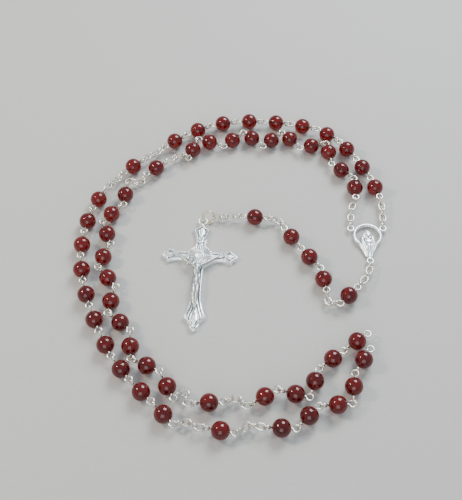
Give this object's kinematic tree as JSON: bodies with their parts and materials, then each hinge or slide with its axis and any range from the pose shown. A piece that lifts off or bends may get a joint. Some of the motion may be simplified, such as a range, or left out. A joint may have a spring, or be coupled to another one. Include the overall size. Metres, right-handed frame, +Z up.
{
  "type": "rosary",
  "caption": "Rosary laid flat: dark red glass beads on wire eye pins, short chains, a ring-shaped centrepiece with a veiled bust, a pendant strand, a jump ring and a flared crucifix.",
  "frame": {"origin": "middle of the centrepiece's ring, on its flat back, which lies on the surface", "axes": "+Y from the origin to the centrepiece's head, away from the pendant strand; +Z up from the surface; +X to the right strand's loop"},
  "size_m": [0.1123, 0.1353, 0.006],
  "materials": {
    "beads": "polished dark red glass",
    "pins": "drawn wire, slightly dull",
    "links": "drawn wire, slightly dull",
    "jump_ring": "pale brass wire",
    "centrepiece": "cast, silvered, darker in its recesses",
    "crucifix": "cast, silvered, darker in its recesses",
    "corpus": "cast, silvered, polished on its high places",
    "rivets": "plain"
  },
  "bodies": {
    "centrepiece": {"centrepiece": "centrepiece"},
    "right_chain_1": {"right_chain_1": "links"},
    "right_hail_1": {"right_hail_pins_1": "pins", "right_hail_beads_1": "beads"},
    "right_hail_2": {"right_hail_pins_2": "pins", "right_hail_beads_2": "beads"},
    "right_chain_2": {"right_chain_2": "links"},
    "right_father_1": {"right_father_pin_1": "pins"},
    "right_father_1_bead": {"right_father_bead_1": "beads"},
    "right_chain_3": {"right_chain_3": "links"},
    "right_hail_3": {"right_hail_pins_3": "pins", "right_hail_beads_3": "beads"},
    "right_hail_4": {"right_hail_pins_4": "pins", "right_hail_beads_4": "beads"},
    "right_chain_4": {"right_chain_4": "links"},
    "right_father_2": {"right_father_pin_2": "pins"},
    "right_father_2_bead": {"right_father_bead_2": "beads"},
    "right_chain_5": {"right_chain_5": "links"},
    "right_hail_5": {"right_hail_pins_5": "pins", "right_hail_beads_5": "beads"},
    "left_chain_1": {"left_chain_1": "links"},
    "left_hail_1": {"left_hail_pins_1": "pins", "left_hail_beads_1": "beads"},
    "left_hail_2": {"left_hail_pins_2": "pins", "left_hail_beads_2": "beads"},
    "left_chain_2": {"left_chain_2": "links"},
    "left_father_1": {"left_father_pin_1": "pins"},
    "left_father_1_bead": {"left_father_bead_1": "beads"},
    "left_chain_3": {"left_chain_3": "links"},
    "left_hail_3": {"left_hail_pins_3": "pins", "left_hail_beads_3": "beads"},
    "left_hail_4": {"left_hail_pins_4": "pins", "left_hail_beads_4": "beads"},
    "left_chain_4": {"left_chain_4": "links"},
    "left_father_2": {"left_father_pin_2": "pins"},
    "left_father_2_bead": {"left_father_bead_2": "beads"},
    "left_chain_5": {"left_chain_5": "links"},
    "left_hail_5": {"left_hail_pins_5": "pins", "left_hail_beads_5": "beads"},
    "pendant_chain_1": {"pendant_chain_1": "links"},
    "pendant_pin_1": {"pendant_pin_1": "pins"},
    "pendant_pin_1_bead": {"pendant_bead_1": "beads"},
    "pendant_chain_2": {"pendant_chain_2": "links"},
    "pendant_pin_2": {"pendant_pin_2": "pins"},
    "pendant_pin_2_bead": {"pendant_bead_2": "beads"},
    "pendant_pin_3": {"pendant_pin_3": "pins"},
    "pendant_pin_3_bead": {"pendant_bead_3": "beads"},
    "pendant_pin_4": {"pendant_pin_4": "pins"},
    "pendant_pin_4_bead": {"pendant_bead_4": "beads"},
    "pendant_chain_3": {"pendant_chain_3": "links"},
    "pendant_pin_5": {"pendant_pin_5": "pins"},
    "pendant_pin_5_bead": {"pendant_bead_5": "beads"},
    "pendant_chain_4": {"pendant_chain_4": "links"},
    "jump_ring": {"jump_ring": "jump_ring"},
    "crucifix": {"crucifix_cross": "crucifix", "crucifix_corpus": "corpus", "crucifix_rivets": "rivets"}
  },
  "joints": [
    {"name": "right_chain_1_lift", "type": "hinge", "parent": "centrepiece", "child": "right_chain_1", "pos_m": [0.0059, 0.00417, 0.0014], "axis": [-0.9975, 0.0703, 0], "range_deg": [-60, 60]},
    {"name": "right_hail_1_lift", "type": "hinge", "parent": "right_chain_1", "child": "right_hail_1", "pos_m": [0.00587, 0.01558, 0.003], "axis": [0.9947, 0.1023, 0], "range_deg": [-60, 60]},
    {"name": "right_hail_2_lift", "type": "hinge", "parent": "right_hail_1", "child": "right_hail_2", "pos_m": [-0.02661, 0.05298, 0.003], "axis": [-0.1238, -0.9923, 0], "range_deg": [-60, 60]},
    {"name": "right_chain_2_lift", "type": "hinge", "parent": "right_hail_2", "child": "right_chain_2", "pos_m": [-0.0754, 0.0402, 0.003], "axis": [-0.6442, 0.7649, 0], "range_deg": [-60, 60]},
    {"name": "right_father_1_lift", "type": "hinge", "parent": "right_chain_2", "child": "right_father_1", "pos_m": [-0.08256, 0.03407, 0.003], "axis": [0.6852, -0.7284, 0], "range_deg": [-60, 60]},
    {"name": "right_chain_3_lift", "type": "hinge", "parent": "right_father_1", "child": "right_chain_3", "pos_m": [-0.09017, 0.0268, 0.003], "axis": [-0.7409, 0.6716, 0], "range_deg": [-60, 60]},
    {"name": "right_hail_3_lift", "type": "hinge", "parent": "right_chain_3", "child": "right_hail_3", "pos_m": [-0.09571, 0.01922, 0.003], "axis": [0.9109, -0.4125, 0], "range_deg": [-60, 60]},
    {"name": "right_hail_4_lift", "type": "hinge", "parent": "right_hail_3", "child": "right_hail_4", "pos_m": [-0.09635, -0.03163, 0.003], "axis": [-0.9215, -0.3883, 0], "range_deg": [-60, 60]},
    {"name": "right_chain_4_lift", "type": "hinge", "parent": "right_hail_4", "child": "right_chain_4", "pos_m": [-0.06565, -0.07276, 0.003], "axis": [-0.2951, 0.9555, 0], "range_deg": [-60, 60]},
    {"name": "right_father_2_lift", "type": "hinge", "parent": "right_chain_4", "child": "right_father_2", "pos_m": [-0.05682, -0.07427, 0.003], "axis": [-0.1715, -0.9852, 0], "range_deg": [-60, 60]},
    {"name": "right_chain_5_lift", "type": "hinge", "parent": "right_father_2", "child": "right_chain_5", "pos_m": [-0.0466, -0.0753, 0.003], "axis": [-0.5316, 0.847, 0], "range_deg": [-60, 60]},
    {"name": "right_hail_5_lift", "type": "hinge", "parent": "right_chain_5", "child": "right_hail_5", "pos_m": [-0.03812, -0.07402, 0.003], "axis": [-0.0428, -0.9991, 0], "range_deg": [-60, 60]},
    {"name": "left_chain_1_lift", "type": "hinge", "parent": "centrepiece", "child": "left_chain_1", "pos_m": [-0.00575, 0.00417, 0.0014], "axis": [0.9971, -0.0763, 0], "range_deg": [-60, 60]},
    {"name": "left_hail_1_lift", "type": "hinge", "parent": "left_chain_1", "child": "left_hail_1", "pos_m": [-0.00345, 0.01528, 0.003], "axis": [-0.9275, 0.3737, 0], "range_deg": [-40, 40]},
    {"name": "left_hail_2_lift", "type": "hinge", "parent": "left_hail_1", "child": "left_hail_2", "pos_m": [-0.03007, 0.04773, 0.003], "axis": [-0.7013, 0.7129, 0], "range_deg": [-60, 60]},
    {"name": "left_chain_2_lift", "type": "hinge", "parent": "left_hail_2", "child": "left_chain_2", "pos_m": [-0.06629, 0.03575, 0.003], "axis": [-0.6489, -0.7609, 0], "range_deg": [-60, 60]},
    {"name": "left_father_1_lift", "type": "hinge", "parent": "left_chain_2", "child": "left_father_1", "pos_m": [-0.07359, 0.03312, 0.003], "axis": [-0.63, 0.7766, 0], "range_deg": [-60, 60]},
    {"name": "left_chain_3_lift", "type": "hinge", "parent": "left_father_1", "child": "left_chain_3", "pos_m": [-0.08139, 0.02618, 0.003], "axis": [0.9032, -0.4293, 0], "range_deg": [-60, 60]},
    {"name": "left_hail_3_lift", "type": "hinge", "parent": "left_chain_3", "child": "left_hail_3", "pos_m": [-0.0877, 0.02195, 0.003], "axis": [-0.9967, 0.0815, 0], "range_deg": [-60, 60]},
    {"name": "left_hail_4_lift", "type": "hinge", "parent": "left_hail_3", "child": "left_hail_4", "pos_m": [-0.08861, -0.02412, 0.003], "axis": [0.9835, -0.181, 0], "range_deg": [-60, 60]},
    {"name": "left_chain_4_lift", "type": "hinge", "parent": "left_hail_4", "child": "left_chain_4", "pos_m": [-0.0661, -0.06366, 0.003], "axis": [0.6487, -0.761, 0], "range_deg": [-60, 60]},
    {"name": "left_father_2_lift", "type": "hinge", "parent": "left_chain_4", "child": "left_father_2", "pos_m": [-0.06057, -0.06617, 0.003], "axis": [-0.0627, 0.998, 0], "range_deg": [-60, 60]},
    {"name": "left_chain_5_lift", "type": "hinge", "parent": "left_father_2", "child": "left_chain_5", "pos_m": [-0.05014, -0.06517, 0.003], "axis": [0.3713, -0.9285, 0], "range_deg": [-60, 60]},
    {"name": "left_hail_5_lift", "type": "hinge", "parent": "left_chain_5", "child": "left_hail_5", "pos_m": [-0.04229, -0.0663, 0.003], "axis": [-0.5298, 0.8481, 0], "range_deg": [-60, 60]},
    {"name": "pendant_chain_1_lift", "type": "hinge", "parent": "centrepiece", "child": "pendant_chain_1", "pos_m": [-0.00017, -0.01206, 0.0014], "axis": [0.9868, -0.1622, 0], "range_deg": [-60, 60]},
    {"name": "pendant_pin_1_swing", "type": "hinge", "parent": "pendant_chain_1", "child": "pendant_pin_1", "pos_m": [-0.00547, -0.02275, 0.003], "axis": [0, 0, -1], "range_deg": [-25, 35]},
    {"name": "pendant_chain_2_lift", "type": "hinge", "parent": "pendant_pin_1", "child": "pendant_chain_2", "pos_m": [-0.01307, -0.02933, 0.003], "axis": [-0.2004, -0.9797, 0], "range_deg": [-60, 60]},
    {"name": "pendant_pin_2_lift", "type": "hinge", "parent": "pendant_chain_2", "child": "pendant_pin_2", "pos_m": [-0.01627, -0.02528, 0.003], "axis": [0.9975, 0.0712, 0], "range_deg": [-60, 60]},
    {"name": "pendant_pin_3_swing", "type": "hinge", "parent": "pendant_pin_2", "child": "pendant_pin_3", "pos_m": [-0.01808, -0.01496, 0.003], "axis": [0, 0, 1], "range_deg": [-45, 35]},
    {"name": "pendant_pin_4_lift", "type": "hinge", "parent": "pendant_pin_3", "child": "pendant_pin_4", "pos_m": [-0.02487, -0.006, 0.003], "axis": [0.8425, 0.5387, 0], "range_deg": [-60, 60]},
    {"name": "pendant_chain_3_lift", "type": "hinge", "parent": "pendant_pin_4", "child": "pendant_chain_3", "pos_m": [-0.03038, 0.00296, 0.003], "axis": [-0.9231, -0.3846, 0], "range_deg": [-60, 60]},
    {"name": "pendant_pin_5_swing", "type": "hinge", "parent": "pendant_chain_3", "child": "pendant_pin_5", "pos_m": [-0.03547, 0.00647, 0.003], "axis": [0, 0, -1], "range_deg": [-45, 45]},
    {"name": "pendant_chain_4_lift", "type": "hinge", "parent": "pendant_pin_5", "child": "pendant_chain_4", "pos_m": [-0.04597, 0.00723, 0.003], "axis": [-0.041, -0.9992, 0], "range_deg": [-60, 60]},
    {"name": "jump_ring_lift", "type": "hinge", "parent": "pendant_chain_4", "child": "jump_ring", "pos_m": [-0.05573, 0.00743, 0.00194], "axis": [-0.0156, -0.9999, 0], "range_deg": [-30, 30]},
    {"name": "crucifix_swing", "type": "hinge", "parent": "jump_ring", "child": "crucifix", "pos_m": [-0.05917, 0.00695, 0.0013], "axis": [-0.3676, 0.6012, 0.7095], "range_deg": [-45, 45]},
    {"name": "right_father_1_bead_spin", "type": "hinge", "parent": "right_father_1", "child": "right_father_1_bead", "pos_m": [-0.08613, 0.03071, 0.003], "axis": [-0.7283, -0.6852, 0], "continuous": true},
    {"name": "right_father_2_bead_spin", "type": "hinge", "parent": "right_father_2", "child": "right_father_2_bead", "pos_m": [-0.05199, -0.07511, 0.003], "axis": [0.9852, -0.1715, 0], "continuous": true},
    {"name": "left_father_1_bead_spin", "type": "hinge", "parent": "left_father_1", "child": "left_father_1_bead", "pos_m": [-0.0774, 0.03003, 0.003], "axis": [-0.7766, -0.6301, 0], "continuous": true},
    {"name": "left_father_2_bead_spin", "type": "hinge", "parent": "left_father_2", "child": "left_father_2_bead", "pos_m": [-0.05568, -0.06586, 0.003], "axis": [0.998, 0.0627, 0], "continuous": true},
    {"name": "pendant_pin_1_bead_spin", "type": "hinge", "parent": "pendant_pin_1", "child": "pendant_pin_1_bead", "pos_m": [-0.00885, -0.0263, 0.003], "axis": [-0.695, -0.719, 0], "continuous": true},
    {"name": "pendant_pin_2_bead_spin", "type": "hinge", "parent": "pendant_pin_2", "child": "pendant_pin_2_bead", "pos_m": [-0.0171, -0.01972, 0.003], "axis": [-0.1651, 0.9863, 0], "continuous": true},
    {"name": "pendant_pin_3_bead_spin", "type": "hinge", "parent": "pendant_pin_3", "child": "pendant_pin_3_bead", "pos_m": [-0.02152, -0.01051, 0.003], "axis": [-0.6115, 0.7913, 0], "continuous": true},
    {"name": "pendant_pin_4_bead_spin", "type": "hinge", "parent": "pendant_pin_4", "child": "pendant_pin_4_bead", "pos_m": [-0.02752, -0.00187, 0.003], "axis": [-0.5388, 0.8425, 0], "continuous": true},
    {"name": "pendant_pin_5_bead_spin", "type": "hinge", "parent": "pendant_pin_5", "child": "pendant_pin_5_bead", "pos_m": [-0.04036, 0.00686, 0.003], "axis": [-0.9973, 0.0732, 0], "continuous": true}
  ]
}
